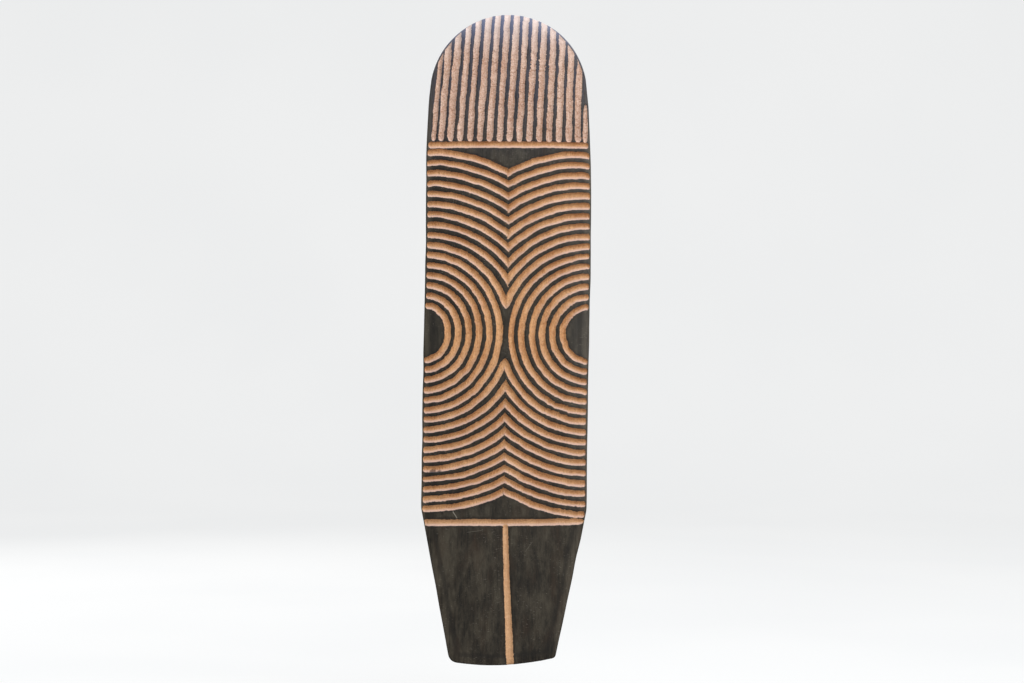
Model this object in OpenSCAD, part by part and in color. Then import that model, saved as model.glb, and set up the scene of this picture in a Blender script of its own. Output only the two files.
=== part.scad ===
/* [Board] */
// Height of the board from the lowest point of its bottom edge to the top of its dome
board_height = 1000; // [960:5:1040]
// Width of the board between its two parallel sides
board_width = 254; // [246:1:260]
// Thickness of the board along its middle
board_thickness = 24; // [22:1:30]
// How much lower the front is at the two side edges than along the middle
crown_drop = 4; // [3:0.5:5]
// Radius of the round top
dome_radius = 121; // [118:1:122]
// Height at which the sides become parallel below the dome
flare_height = 700; // [680:5:720]
// Height at which the tail starts to narrow
tail_height = 247; // [240:1:254]
// Width of the board at its two bottom corners
tail_width = 160; // [140:1:180]
// How far the bottom edge bows down in its middle
bottom_bow = 11.5; // [8:0.5:14]
// Radius of the two bottom corners
corner_radius = 8; // [5:1:12]

/* [Carving] */
// Width of a gouged groove
groove_width = 10; // [8:0.5:11]
// Depth of a gouged groove below the front
groove_depth = 3; // [2:0.5:4]
// Number of ring grooves round each side centre
ring_count = 16; // [8:1:16]
// Radius of the smallest ring groove
first_ring_radius = 40; // [36:1:42]
// Distance from one ring groove to the next
ring_pitch = 15.75; // [15:0.25:15.75]
// Height of the two ring centres, which lie on the side edges
ring_centre_height = 510; // [505:1:512]
// Width of the black rim left between a groove's end and the side edge
rim_width = 2.5; // [1:0.5:4]
// Width of the black ridge between the dome grooves' round ends and the straight groove
dome_ridge = 1; // [0.5:0.1:3]
// Height of the straight groove above the rings
upper_bar_height = 800; // [799:1:803]
// Height of the straight groove below the rings
lower_bar_height = 219.5; // [216:0.5:220]
// Number of upright grooves in the dome
dome_groove_count = 17; // [9:2:17]
// Distance from one dome groove to the next
dome_groove_pitch = 14.3; // [13.5:0.1:14.3]
// Lean of the left outermost dome groove from upright, in degrees
left_lean = 4.4; // [0:0.1:5]
// Lean of the right outermost dome groove from upright, in degrees
right_lean = 0.5; // [0:0.1:5]
// Height at which the right outermost dome groove ends
right_groove_top = 861; // [840:1:880]
// Lean of the single groove down the tail, in degrees
tail_groove_lean = 2.5; // [0:0.1:4]

/* [Hanger] */
// Height of the hanging point above the lowest point of the board
hook_height = 905; // [860:5:920]
// Diameter of the ring's wire
wire_diameter = 2.5; // [2:0.1:3]
// Width of the ring between its two sides, measured from wire centre to wire centre
ring_width = 25.5; // [23:0.5:27]
// Height of the ring from the centre of its straight bar to the centre of its crown
ring_height = 17; // [16:0.5:18]
// Radius of the ring's two lower corners, at the wire's centre
ring_corner_radius = 3; // [2.5:0.5:4]
// Width of the folded strap
strap_width = 14; // [12:1:15]
// Length of the strap below the ring's bar
strap_length = 34; // [33:1:45]
// Thickness of the strap's sheet
sheet_thickness = 1; // [0.8:0.1:1.2]
// Play between the ring's bar and the strap's rolled eye, on the radius
eye_clearance = 0.08; // [0.05:0.01:0.1]

/* [Screws] */
// Distance of the upper screw below the ring's bar
upper_screw_drop = 8.5; // [8:0.5:9]
// Distance from the upper screw to the lower one
screw_spacing = 17.5; // [17:0.5:18]
// Diameter of a screw's head
screw_head_diameter = 7; // [6:0.5:7.5]
// Height of a screw's head
screw_head_height = 2.2; // [1.8:0.1:2.4]
// Diameter over a screw's thread
screw_thread_diameter = 3.5; // [3:0.1:4]
// Length of a screw below its head
screw_length = 16; // [12:1:18]
// Diameter of the pilot holes in the board, and of the screws' core
pilot_diameter = 2.4; // [2:0.1:2.6]

/* [Wall pads] */
// Thickness of a pad, which sets the gap between the board and the wall
pad_thickness = 5; // [5:0.5:7]
// Diameter of a pad where it is stuck to the board
pad_diameter = 16; // [12:1:20]
// Distance of each pad from the middle of the board
pad_offset = 56; // [45:1:60]
// Height of the pads above the lowest point of the board
pad_height = 62; // [50:1:90]

/* [Hidden] */
black_stain = [0.10, 0.10, 0.09];
zinc_plate = [0.72, 0.73, 0.72];
steel_wire = [0.62, 0.63, 0.64];
pad_rubber = [0.16, 0.16, 0.17];
wire_radius = wire_diameter / 2;
eye_inner_radius = wire_radius + eye_clearance;
eye_radius = eye_inner_radius + sheet_thickness;
strap_thickness = 2 * sheet_thickness;
// The origin is where a wall hook bears, under the crown of the ring
bar_z = wire_radius - ring_height;
back_y = -eye_radius;
half_width = board_width / 2;
dome_z = board_height - dome_radius;
tail_half = tail_width / 2;
bottom_arc_radius = (tail_half * tail_half + bottom_bow * bottom_bow) / (2 * bottom_bow);
crown_radius = (half_width * half_width + crown_drop * crown_drop) / (2 * crown_drop);
tail_taper = atan((half_width - tail_half) / (tail_height - bottom_bow));
dome_groove_base = upper_bar_height + groove_width + dome_ridge;
overcut = 5;
block_depth = board_thickness + overcut;
round_faces = 96;
crown_faces = 720;

// Places its children, drawn in board coordinates, in the part's frame.
// Board coordinates have z = 0 at the lowest point of the board and y = 0 on its flat back.
module on_board() {
    translate([0, back_y, -hook_height]) children();
}

// Extrudes a flat shape, drawn with x across and y up, from the back towards the front
module stand_up(depth) {
    rotate([90, 0, 0]) linear_extrude(height = depth) children();
}

// A round bar along Z
module post(radius, bottom, top, faces = round_faces) {
    translate([0, 0, bottom]) cylinder(r = radius, h = top - bottom, $fn = faces);
}

// A round bar along Y from y = 0 to y = -depth, centred at (x, z)
module peg(radius, depth, x, z, faces = round_faces) {
    translate([x, 0, z]) rotate([90, 0, 0]) cylinder(r = radius, h = depth, $fn = faces);
}

// Half-width of the tail at a height
function tail_side_x(height) = half_width - (tail_height - height) * tan(tail_taper);

// Height of the bottom edge's arc at a distance from the middle
function bottom_arc_z(x) = bottom_arc_radius - sqrt(bottom_arc_radius * bottom_arc_radius - x * x);

// Block of the board's outline, deeper than the board: dome, flared shoulders, body and tail
module blank() {
    peg(dome_radius, block_depth, 0, dome_z, 2 * round_faces);
    stand_up(block_depth) polygon([
        [-dome_radius, dome_z], [-half_width, flare_height], [-half_width, tail_height],
        [half_width, tail_height], [half_width, flare_height], [dome_radius, dome_z]
    ]);
    tail_block();
}

// Points on an arc round a centre, from one angle to another
function arc(centre, radius, from, to, steps) = [
    for (step = [0 : steps]) let (angle = from + (to - from) * step / steps)
        centre + radius * [cos(angle), sin(angle)]
];

// The tail narrows to two round corners and a bowed bottom edge
module tail_block() {
    corner_x = tail_side_x(bottom_bow + corner_radius / 2) - corner_radius / cos(tail_taper);
    corner_z = bottom_arc_z(corner_x) + corner_radius;
    bow_angle = asin(corner_x / bottom_arc_radius);
    right_side = concat(
        arc([0, bottom_arc_radius], bottom_arc_radius, -90, bow_angle - 90, 8),
        arc([corner_x, corner_z], corner_radius, bow_angle - 80, -tail_taper, 6),
        [[half_width, tail_height]]
    );
    left_side = [for (index = [len(right_side) - 1 : -1 : 1]) [-right_side[index][0], right_side[index][1]]];
    stand_up(block_depth) polygon(concat(right_side, left_side));
}

// Everything behind a crowned surface that lies lower_by under the board's front
module crown(lower_by) {
    translate([0, crown_radius - board_thickness + lower_by, -overcut])
        cylinder(r = crown_radius, h = board_height + 2 * overcut, $fn = crown_faces);
}

// One ring groove's cutter: a tube round a side centre, kept to its own half of the board
module ring_cutter(side, radius) {
    inside = half_width - rim_width;
    intersection() {
        difference() {
            peg(radius + groove_width / 2, block_depth, side * half_width, ring_centre_height);
            translate([0, overcut, 0])
                peg(
                    radius - groove_width / 2, block_depth + 2 * overcut,
                    side * half_width, ring_centre_height
                );
        }
        translate([side > 0 ? 0 : -inside, -block_depth, 0])
            cube([inside, block_depth, board_height]);
    }
}

module ring_cutters() {
    for (side = [-1, 1])
        for (ring = [0 : ring_count - 1])
            ring_cutter(side, first_ring_radius + ring * ring_pitch);
}

// A straight groove's cutter that starts at (x, z) with a round end and runs up at an angle
module upright_cutter(x, z, lean, length) {
    translate([x, 0, z]) rotate([0, lean, 0]) {
        peg(groove_width / 2, block_depth, 0, 0, 48);
        translate([-groove_width / 2, -block_depth, 0])
            cube([groove_width, block_depth, length]);
    }
}

module dome_cutters() {
    middle = (dome_groove_count - 1) / 2;
    last = dome_groove_count - 1;
    for (index = [0 : last]) {
        lean = left_lean + (right_lean - left_lean) * index / last;
        full = board_height - dome_groove_base + overcut;
        upright_cutter(
            1 + (index - middle) * dome_groove_pitch, dome_groove_base, lean,
            index == last ? right_groove_top - dome_groove_base : full
        );
    }
}

// A straight level groove's cutter, as wide as the board less its rims
module bar_cutter(height, reach) {
    translate([-reach, -block_depth, height - groove_width / 2])
        cube([2 * reach, block_depth, groove_width]);
}

module bar_cutters() {
    flare = (half_width - dome_radius) * (upper_bar_height - flare_height) / (dome_z - flare_height);
    bar_cutter(upper_bar_height, half_width - flare - rim_width);
    bar_cutter(lower_bar_height, tail_side_x(lower_bar_height) - rim_width);
}

// The single groove that runs from the lower bar out through the bottom edge
module tail_cutter() {
    translate([2.5, 0, lower_bar_height])
        rotate([0, -tail_groove_lean, 0])
            translate([-groove_width / 2, -block_depth, -board_height / 4])
                cube([groove_width, block_depth, board_height / 4]);
}

module pilot_holes() {
    for (drop = [upper_screw_drop, upper_screw_drop + screw_spacing])
        peg(pilot_diameter / 2, screw_length - strap_thickness + 1, 0, hook_height + bar_z - drop, 48);
}

module board() {
    color(black_stain) on_board() difference() {
        intersection() {
            blank();
            crown(0);
        }
        difference() {
            union() {
                ring_cutters();
                dome_cutters();
                bar_cutters();
                tail_cutter();
            }
            crown(groove_depth);
        }
        pilot_holes();
    }
}

// Clearance hole through the strap for a screw, with its centre on the strap's middle
module strap_hole(drop) {
    translate([0, back_y + strap_thickness + overcut, bar_z - drop])
        rotate([90, 0, 0])
            cylinder(d = screw_thread_diameter + 0.3, h = strap_thickness + 2 * overcut, $fn = 48);
}

// The strap is one sheet folded double, with an eye rolled at the fold for the ring's bar
module hanger_strap() {
    end_radius = strap_width / 2;
    color(zinc_plate) difference() {
        union() {
            translate([-end_radius, 0, bar_z]) rotate([0, 90, 0])
                cylinder(r = eye_radius, h = strap_width, $fn = round_faces);
            translate([-end_radius, back_y, bar_z - strap_length + end_radius])
                cube([strap_width, strap_thickness, strap_length - end_radius]);
            translate([0, back_y + strap_thickness, bar_z - strap_length + end_radius])
                rotate([90, 0, 0]) cylinder(r = end_radius, h = strap_thickness, $fn = round_faces);
        }
        translate([-strap_width, 0, bar_z]) rotate([0, 90, 0])
            cylinder(r = eye_inner_radius, h = 2 * strap_width, $fn = round_faces);
        strap_hole(upper_screw_drop);
        strap_hole(upper_screw_drop + screw_spacing);
    }
}

// A quarter or half turn of wire in the XZ plane, centred at (x, z)
module wire_bend(x, z, bend_radius, start, sweep) {
    translate([x, 0, z]) rotate([90, 0, 0])
        rotate_extrude(angle = sweep, start = start, $fn = round_faces)
            translate([bend_radius, 0]) circle(r = wire_radius, $fn = 32);
}

// The ring is a D of bent wire: a straight bar in the strap's eye, two corners and a round crown
module hanging_ring() {
    half_ring = ring_width / 2;
    corner_x = half_ring - ring_corner_radius;
    corner_z = bar_z + ring_corner_radius;
    arc_z = bar_z + ring_height - half_ring;
    color(steel_wire) union() {
        translate([-corner_x, 0, bar_z]) rotate([0, 90, 0])
            cylinder(r = wire_radius, h = 2 * corner_x, $fn = 32);
        wire_bend(corner_x, corner_z, ring_corner_radius, 270, 90);
        wire_bend(-corner_x, corner_z, ring_corner_radius, 180, 90);
        for (side = [-1, 1]) translate([side * half_ring, 0, 0]) post(wire_radius, corner_z, arc_z, 32);
        wire_bend(0, arc_z, half_ring, 0, 180);
    }
}

// Outline of one turn of thread, as radius and depth below the head
function thread_turn(depth, pitch) = [
    [pilot_diameter / 2, depth], [screw_thread_diameter / 2, depth - pitch * 0.45],
    [pilot_diameter / 2, depth - pitch * 0.9]
];

// A pan-head wood screw along Z, with the underside of its head at z = 0
module wood_screw() {
    pitch = 1.4;
    turns = floor((screw_length - 6) / pitch);
    thread_start = -3;
    thread_end = thread_start - turns * pitch;
    head_radius = screw_head_diameter / 2;
    difference() {
        rotate_extrude($fn = 48) polygon(concat(
            [[0, screw_head_height], [head_radius * 0.55, screw_head_height * 0.93],
             [head_radius * 0.88, screw_head_height * 0.68], [head_radius, screw_head_height * 0.3],
             [head_radius, 0], [pilot_diameter / 2, 0]],
            [for (turn = [0 : turns - 1]) each thread_turn(thread_start - turn * pitch, pitch)],
            [[pilot_diameter / 2, thread_end], [0.2, -screw_length], [0, -screw_length]]
        ));
        for (turn = [0, 90]) rotate([0, 0, turn])
            translate([-2, -0.45, screw_head_height * 0.45]) cube([4, 0.9, screw_head_height]);
    }
}

// The two screws go through the strap into the board, with their heads towards the wall
module hanger_screws() {
    color(steel_wire)
        for (drop = [upper_screw_drop, upper_screw_drop + screw_spacing])
            translate([0, back_y + strap_thickness, bar_z - drop]) rotate([-90, 0, 0]) wood_screw();
}

// A round bumper with a rounded rim and a flat middle that rests on the wall
module wall_pad(side) {
    base = pad_diameter / 2;
    rim = pad_thickness * 0.64;
    color(pad_rubber) on_board() translate([side * pad_offset, 0, pad_height]) rotate([-90, 0, 0])
        rotate_extrude($fn = round_faces) {
            square([base - rim, pad_thickness]);
            square([base, pad_thickness - rim]);
            intersection() {
                translate([base - rim, pad_thickness - rim]) circle(r = rim, $fn = 48);
                square([base, pad_thickness]);
            }
        }
}

module left_wall_pad() {
    wall_pad(-1);
}

module right_wall_pad() {
    wall_pad(1);
}

board();
hanger_strap();
hanging_ring();
hanger_screws();
left_wall_pad();
right_wall_pad();
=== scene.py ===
# %% [markdown]
# # A carved wooden mask board
# This lesson gives a packed, functional model of a tall wall board its real surface. The board is one
# plank of wood, stained black on its front and sides, and then cut with a gouge, so that every groove
# shows the bare wood under the stain. On its raw back are a small strap hanger and two rubber pads.
# The board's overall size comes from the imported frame, and the hardware repeats the places of the packed
# parts. Blender adds what a carver's hand and a brush leave.

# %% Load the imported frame
import math

import bmesh
import bpy
import numpy as np
from mathutils import Matrix, Vector, kdtree
from mathutils.geometry import delaunay_2d_cdt


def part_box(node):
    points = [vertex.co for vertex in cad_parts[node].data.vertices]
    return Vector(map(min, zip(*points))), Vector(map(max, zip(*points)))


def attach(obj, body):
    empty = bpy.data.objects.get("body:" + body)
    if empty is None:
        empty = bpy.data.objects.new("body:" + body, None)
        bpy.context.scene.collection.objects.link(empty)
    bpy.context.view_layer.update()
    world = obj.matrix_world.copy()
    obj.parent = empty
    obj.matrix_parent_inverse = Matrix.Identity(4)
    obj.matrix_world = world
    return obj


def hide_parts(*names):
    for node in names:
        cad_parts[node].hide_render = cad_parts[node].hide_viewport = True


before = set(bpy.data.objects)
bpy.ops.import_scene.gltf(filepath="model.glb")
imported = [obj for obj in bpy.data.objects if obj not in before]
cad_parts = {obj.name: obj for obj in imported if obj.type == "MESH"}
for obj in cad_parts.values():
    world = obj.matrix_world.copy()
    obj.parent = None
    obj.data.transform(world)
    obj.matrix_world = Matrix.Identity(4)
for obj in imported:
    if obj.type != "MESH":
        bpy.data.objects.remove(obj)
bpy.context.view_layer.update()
scene = bpy.context.scene

# %% [markdown]
# ## Sizes
# Carving is easiest to think about in millimetres on the board itself: x across from the middle line,
# z up from the lowest point, and the thickness measured forward from the flat back. One function turns
# such a place into the frame's metres, so no piece has to be fitted afterwards.

# %% Read the board's sizes from the frame
MM = 0.001
board_low, board_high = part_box("board")
BACK_Y = board_high.y
BOARD_BASE = board_low.z
HEIGHT = (board_high.z - board_low.z) / MM
HALF_WIDTH = (board_high.x - board_low.x) / 2 / MM
THICKNESS = (board_high.y - board_low.y) / MM


def to_frame(x, z, thickness):
    """Board millimetres to the frame's metres, for numbers or arrays."""
    x, z, thickness = np.broadcast_arrays(x, z, thickness)
    return np.stack([x * MM, BACK_Y - thickness * MM, BOARD_BASE + z * MM], axis=-1)


print(f"board {2 * HALF_WIDTH:.0f} x {THICKNESS:.0f} x {HEIGHT:.0f} mm")

# %% [markdown]
# ## Camera
# The board is seen straight from the front through a portrait lens. It hangs about half a degree off
# upright and a little left of the middle, so the camera is rolled and aimed by those amounts instead of
# moving the board.

# %% Place the camera
LENS = 85.0
SENSOR = 36.0
FRAME_WIDTH = 1.5725
LEAN = math.radians(0.574)
AIM_RIGHT = 0.0099
AIM_DOWN = 0.0023
FARTHEST_SEEN = 60

camera_data = bpy.data.cameras.new("camera")
camera_data.lens = LENS
camera_data.sensor_width = SENSOR
camera_data.clip_end = FARTHEST_SEEN
camera = bpy.data.objects.new("camera", camera_data)
scene.collection.objects.link(camera)
scene.camera = camera
distance = FRAME_WIDTH * LENS / SENSOR
aim = Vector((AIM_RIGHT, board_low.y, BOARD_BASE + HEIGHT * MM / 2 - AIM_DOWN))
right = Vector((math.cos(LEAN), 0, math.sin(LEAN)))
up = Vector((-math.sin(LEAN), 0, math.cos(LEAN)))
back = Vector((0, -1, 0))
turned_to_board = Matrix((right, up, back)).transposed().to_4x4()
camera.matrix_world = Matrix.Translation(aim + back * distance) @ turned_to_board
print(f"camera {distance:.2f} m in front of the board")

# %% [markdown]
# ## Light and stage
# Grooves only read when light rakes across them. One large cool lamp high in front gives every lower lip
# a bright edge and leaves the upper walls in warm shade, a soft front fill keeps the black stain open,
# and a weak lamp behind shows the back. Floor and backdrop are one pale sweep far behind the board.

# %% Build the lamps, the world and the sweep
WORLD_LIGHT = 0.34
WORLD_SEEN = 0.93
FLOOR_GAP = 0.1
scene.view_settings.view_transform = "Standard"
board_middle = Vector((0, BACK_Y, BOARD_BASE + HEIGHT * MM / 2))


def softbox(name, place, size, watts, colour):
    """A square area lamp that faces the middle of the board."""
    data = bpy.data.lights.new(name, "AREA")
    data.shape = "SQUARE"
    data.size = size
    data.energy = watts
    data.color = colour
    lamp = bpy.data.objects.new(name, data)
    lamp.location = place
    lamp.rotation_euler = (board_middle - Vector(place)).to_track_quat("-Z", "Y").to_euler()
    lamp.visible_camera = False
    scene.collection.objects.link(lamp)


softbox("sky_lamp", (0.9, -1.9, 3.0), 2.8, 142, (0.9, 0.95, 1.0))
softbox("front_fill", (1.6, -3.4, 0.6), 2.4, 50, (1.0, 0.96, 0.9))
softbox("back_fill", (-1.6, 2.6, 0.8), 1.8, 30, (1.0, 0.98, 0.95))

world = bpy.data.worlds.new("studio")
scene.world = world
world.use_nodes = True


def sweep_mesh(width, floor_z, front_y, back_y, top_z, radius, steps):
    """A floor that curves up into a wall, as one strip."""
    profile = [(front_y, floor_z)]
    for step in range(steps + 1):
        angle = math.pi / 2 * step / steps
        y = back_y - radius + radius * math.sin(angle)
        profile.append((y, floor_z + radius - radius * math.cos(angle)))
    profile.append((back_y, top_z))
    places = [(side * width / 2, y, z) for y, z in profile for side in (-1, 1)]
    faces = [(2 * row, 2 * row + 1, 2 * row + 3, 2 * row + 2) for row in range(len(profile) - 1)]
    mesh = bpy.data.meshes.new("sweep")
    mesh.from_pydata(places, [], faces)
    mesh.polygons.foreach_set("use_smooth", [True] * len(faces))
    return mesh


sweep = bpy.data.objects.new("sweep", sweep_mesh(
    width=16, floor_z=BOARD_BASE - FLOOR_GAP, front_y=-7, back_y=6.5, top_z=5, radius=2.0, steps=24,
))
scene.collection.objects.link(sweep)
print("sweep spans", tuple(round(side, 2) for side in sweep.dimensions))

# %% [markdown]
# ## Shader arithmetic
# A procedural finish is mostly sums and products of masks. Wrapping a node's output in a small class lets
# those be written as ordinary expressions: numbers become Math nodes, vectors Vector Math, and colours a
# Mix node, because a Math node would turn a colour grey.

# %% Wrap sockets so that they add and multiply


class Signal:
    """One output socket. Arithmetic on it adds the node that works the result out."""

    def __init__(self, socket):
        self.socket = socket
        self.tree = socket.id_data

    def combine(self, operation, first, second):
        kinds = {part.socket.type for part in (first, second) if isinstance(part, Signal)}
        if "RGBA" in kinds:
            settings = {"data_type": "RGBA", "blend_type": operation}
            return add_node(self.tree, "Mix", settings, {0: 1.0, 6: first, 7: second}, out=2)
        if "VECTOR" in kinds:
            return add_node(self.tree, "VectorMath", {"operation": operation}, {0: first, 1: second})
        return add_node(self.tree, "Math", {"operation": operation}, {0: first, 1: second})

    def __add__(self, other):
        return self.combine("ADD", self, other)

    def __radd__(self, other):
        return self.combine("ADD", other, self)

    def __sub__(self, other):
        return self.combine("SUBTRACT", self, other)

    def __rsub__(self, other):
        return self.combine("SUBTRACT", other, self)

    def __mul__(self, other):
        return self.combine("MULTIPLY", self, other)

    def __rmul__(self, other):
        return self.combine("MULTIPLY", other, self)

    def between(self, low, high):
        """0 below low and 1 above high, with a smooth turn between; low may be the larger."""
        settings = {"interpolation_type": "SMOOTHSTEP"}
        ends = {1: low, 2: high, 3: 0.0, 4: 1.0} if low < high else {1: high, 2: low, 3: 1.0, 4: 0.0}
        return add_node(self.tree, "MapRange", settings, {0: self, **ends})

    def above(self, other):
        """The larger of the two."""
        return self.combine("MAXIMUM", self, other)


def fill_socket(tree, target, value):
    """Links a signal, or sets a number, a triple or a colour."""
    if isinstance(value, Signal):
        tree.links.new(value.socket, target)
    elif target.type == "RGBA" and not isinstance(value, (int, float)):
        target.default_value = (*value[:3], 1.0)
    elif target.type in ("VECTOR", "RGBA"):
        target.default_value = value if hasattr(value, "__len__") else [value] * len(target.default_value)
    else:
        target.default_value = value


def add_node(tree, kind, settings=None, inputs=None, out=0):
    """Any node: its settings first, then its sockets, and one of its outputs back as a signal."""
    made = tree.nodes.new("ShaderNode" + kind)
    for name, value in (settings or {}).items():
        setattr(made, name, value)
    for name, value in (inputs or {}).items():
        fill_socket(tree, made.inputs[name], value)
    return Signal(made.outputs[out])


class Finish:
    """A material with one surface shader, and short words for the nodes a finish is made of."""

    def __init__(self, name, **constants):
        self.material = bpy.data.materials.new(name)
        self.material.use_nodes = True
        self.tree = self.material.node_tree
        self.shader = self.tree.nodes["Principled BSDF"]
        for socket, value in constants.items():
            fill_socket(self.tree, self.shader.inputs[socket.replace("_", " ")], value)
        self.place = self.node("TexCoord", out=3)

    def node(self, kind, settings=None, inputs=None, out=0):
        return add_node(self.tree, kind, settings, inputs, out)

    def stretched(self, across, along):
        """Coordinates in millimetres, scaled so that a pattern is longer along z than across."""
        return self.place * (1 / (across * MM), 1 / (across * MM), 1 / (along * MM))

    def noise(self, across, along=None, detail=3.0, roughness=0.55):
        """Soft noise with features about across mm wide and along mm tall, from 0 to 1."""
        return self.node(
            "TexNoise",
            {"noise_dimensions": "3D"},
            {"Vector": self.stretched(across, along or across), "Scale": 1.0, "Detail": detail,
             "Roughness": roughness},
        )

    def attribute(self, name):
        return self.node("Attribute", {"attribute_name": name}, out=2)

    def mix(self, factor, first, second):
        """The first colour where factor is 0 and the second where it is 1."""
        return self.node("Mix", {"data_type": "RGBA"}, {0: factor, 6: first, 7: second}, out=2)

    def coated(self, colour, *coats):
        """A colour under coats, each given as how far it covers what is below and its own colour."""
        for cover, coat in coats:
            colour = self.mix(cover, colour, coat)
        return colour

    def axis(self, vector, number):
        """The x, y or z of a vector, for number 0, 1 or 2."""
        return self.node("SeparateXYZ", {}, {0: vector}, out=number)

    def bump(self, height, depth):
        """A bump whose height of 1 stands depth millimetres proud."""
        return self.node("Bump", {}, {"Strength": 1.0, "Distance": depth * MM, "Height": height})

    def feed(self, **signals):
        for socket, signal in signals.items():
            fill_socket(self.tree, self.shader.inputs[socket.replace("_", " ")], signal)
        return self.material


def srgb(red, green, blue):
    """A colour as a painter's 0 to 255 chart gives it, in the linear values that a shader takes."""
    def linear(level):
        level /= 255
        return level / 12.92 if level <= 0.04045 else ((level + 0.055) / 1.055) ** 2.4
    return (linear(red), linear(green), linear(blue))


print("a painter's mid grey is", [round(level, 3) for level in srgb(128, 128, 128)])

# %% [markdown]
# ## The studio's own finish
# A studio wall is lit by lamps of its own. Instead of adding them, the world and the sweep look brighter
# to the camera than the light they give, so they stay pale without washing out the grooves.

# %% Finish the world and the sweep
sky = world.node_tree
seen = add_node(sky, "LightPath")
sky.nodes["Background"].inputs["Color"].default_value = (0.98, 0.99, 1.0, 1)
fill_socket(sky, sky.nodes["Background"].inputs["Strength"], WORLD_LIGHT + seen * (WORLD_SEEN - WORLD_LIGHT))

studio_pale = Finish("studio_pale", Roughness=0.9, Specular_IOR_Level=0.1, Emission_Strength=1.0)
seen = studio_pale.node("LightPath")
tone = studio_pale.noise(900, detail=2.0).between(0.3, 0.7)
sweep.data.materials.append(studio_pale.feed(
    Base_Color=studio_pale.mix(tone, srgb(128, 129, 130), srgb(136, 136, 136)),
    Emission_Color=studio_pale.mix(seen, (0.1, 0.1, 0.1), (0.74, 0.745, 0.745)),
))

# %% [markdown]
# ## The outline of the plank
# The plank was sawn and then trued with a rasp: a round dome, straight sides that draw in slightly below
# it, and a tail with two corners and a bowed foot. The outline is written as a few straight runs and arcs,
# with the corners rounded by fillets, walked round at an even step, and shaken by a fraction of a
# millimetre, because nothing cut by hand is ruler straight.

# %% Draw the outline
DOME_RADIUS = 121.0
DOME_Z = HEIGHT - DOME_RADIUS
SPRING_ANGLE = math.asin(21.6 / DOME_RADIUS)
NECK = (123.4, 858.0)
SIDE_HALF = 127.3
SIDE_TOP_Z = 778.0
TAIL_Z = 239.0
TAIL_HALF = 81.3
FOOT_LOW_X = -20.0
FOOT_RADIUS = 436.0
OUTLINE_STEP = 2.2


def fillet(before, corner, after, radius, steps=10):
    """Points of an arc that rounds the corner between two straight runs."""
    before, corner, after = (np.array(place, float) for place in (before, corner, after))
    to_before = (before - corner) / np.linalg.norm(before - corner)
    to_after = (after - corner) / np.linalg.norm(after - corner)
    half_angle = math.acos(float(np.dot(to_before, to_after))) / 2
    middle = to_before + to_after
    centre = corner + middle / np.linalg.norm(middle) * radius / math.sin(half_angle)
    first = corner + to_before * radius / math.tan(half_angle) - centre
    last = corner + to_after * radius / math.tan(half_angle) - centre
    start = math.atan2(first[1], first[0])
    turn = (math.atan2(last[1], last[0]) - start + math.pi) % (2 * math.pi) - math.pi
    angles = start + turn * np.linspace(0, 1, steps + 1)
    return [centre + radius * np.array([math.cos(angle), math.sin(angle)]) for angle in angles]


def foot_z(x):
    """Height of the bowed foot, whose lowest point lies a little left of the middle."""
    return FOOT_RADIUS - np.sqrt(FOOT_RADIUS ** 2 - (x - FOOT_LOW_X) ** 2)


def side_run(side, corner_radius):
    """One side of the outline from the foot's corner up to where the dome springs."""
    inner, corner = side * (TAIL_HALF - 20), side * TAIL_HALF
    foot_start, foot_corner = (inner, foot_z(inner)), (corner, foot_z(corner))
    shoulder, top = (side * SIDE_HALF, TAIL_Z), (side * SIDE_HALF, SIDE_TOP_Z)
    neck = (side * NECK[0], NECK[1])
    spring = (side * DOME_RADIUS * math.cos(SPRING_ANGLE), DOME_Z + DOME_RADIUS * math.sin(SPRING_ANGLE))
    return [
        *fillet(foot_start, foot_corner, shoulder, corner_radius), *fillet(foot_corner, shoulder, top, 60),
        *fillet(shoulder, top, neck, 900), *fillet(top, neck, spring, 200), spring,
    ]


def walk(points, step):
    """Evenly spaced points round a closed line."""
    closed = np.vstack([points, points[:1]])
    run = np.concatenate([[0], np.cumsum(np.linalg.norm(np.diff(closed, axis=0), axis=1))])
    count = int(run[-1] / step)
    marks = np.linspace(0, run[-1], count, endpoint=False)
    return np.column_stack([np.interp(marks, run, closed[:, axis]) for axis in (0, 1)])


def wavering(count, swings, rng, closed=False):
    """A smooth random line of count values with about that many swings, with a spread of 1."""
    knots = rng.normal(size=max(4, int(swings * 2) + 2))
    if closed:
        knots[-1] = knots[0]
    along = np.linspace(0, len(knots) - 1.001, count)
    index = along.astype(int)
    blend = along - index
    blend = blend * blend * (3 - 2 * blend)
    return knots[index] * (1 - blend) + knots[index + 1] * blend


def outward(loop):
    """The outward direction at each point of a loop that runs anticlockwise."""
    along = np.roll(loop, -1, axis=0) - np.roll(loop, 1, axis=0)
    along /= np.linalg.norm(along, axis=1)[:, None]
    return np.column_stack([along[:, 1], -along[:, 0]])


rng = np.random.default_rng(11)
foot_x = np.linspace(-TAIL_HALF + 20, TAIL_HALF - 20, 30)
dome_angles = np.linspace(SPRING_ANGLE, math.pi - SPRING_ANGLE, 90)[1:-1]
dome_run = np.column_stack([np.cos(dome_angles), np.sin(dome_angles)]) * DOME_RADIUS + (0, DOME_Z)
outline = walk(np.vstack([
    np.column_stack([foot_x, foot_z(foot_x)]), side_run(1, 7.0), dome_run, side_run(-1, 15.0)[::-1]
]), OUTLINE_STEP)
outline += outward(outline) * (0.3 * wavering(len(outline), 34, rng, closed=True)[:, None] - 0.1)
print(f"outline of {len(outline)} points, {np.ptp(outline[:, 0]):.1f} mm wide")

# %% [markdown]
# ## Distance from the edge
# The rounded edge, the ends of the grooves and the wear all depend on how far a place lies inside the
# outline. A search tree finds the nearest outline point quickly, and the outward direction there tells
# which side the place is on.

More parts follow.
